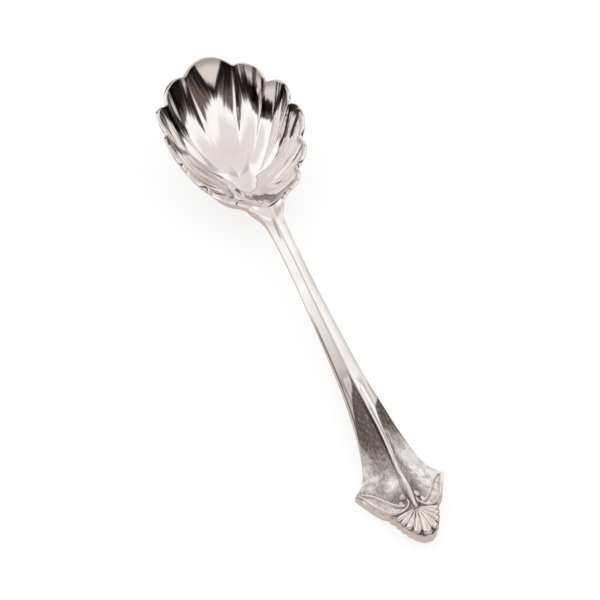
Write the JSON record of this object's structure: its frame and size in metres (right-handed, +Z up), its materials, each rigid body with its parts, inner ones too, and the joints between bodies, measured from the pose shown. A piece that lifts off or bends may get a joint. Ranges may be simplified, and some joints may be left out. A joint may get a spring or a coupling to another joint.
{
  "type": "sugar spoon",
  "caption": "Sugar spoon with a fluted shell-shaped bowl on a slender ridged handle that flares to a pointed shield end with leaf and palmette relief.",
  "frame": {"origin": "middle of the bounding box on the table plane, under the stem", "axes": "+X from the bowl's tip lobe to the end of the handle, +Y to the right seen from the handle's end towards the bowl with the bowl's hollow up, +Z up from the table"},
  "size_m": [0.15, 0.0358, 0.0208],
  "materials": {
    "polished_silver": "mirror polish, lightly worn",
    "handle_silver": "polished stem with grained, darker hollow fields on the terminal",
    "solder": "bright fillet, slightly duller than the polished pieces",
    "ornament_silver": "cast relief with bright high points and toned hollows"
  },
  "bodies": {
    "root": {"bowl": "polished_silver", "handle": "handle_silver", "solder_seam": "solder", "palmette": "ornament_silver", "left_leaf_scroll": "ornament_silver", "right_leaf_scroll": "ornament_silver"}
  },
  "joints": []
}
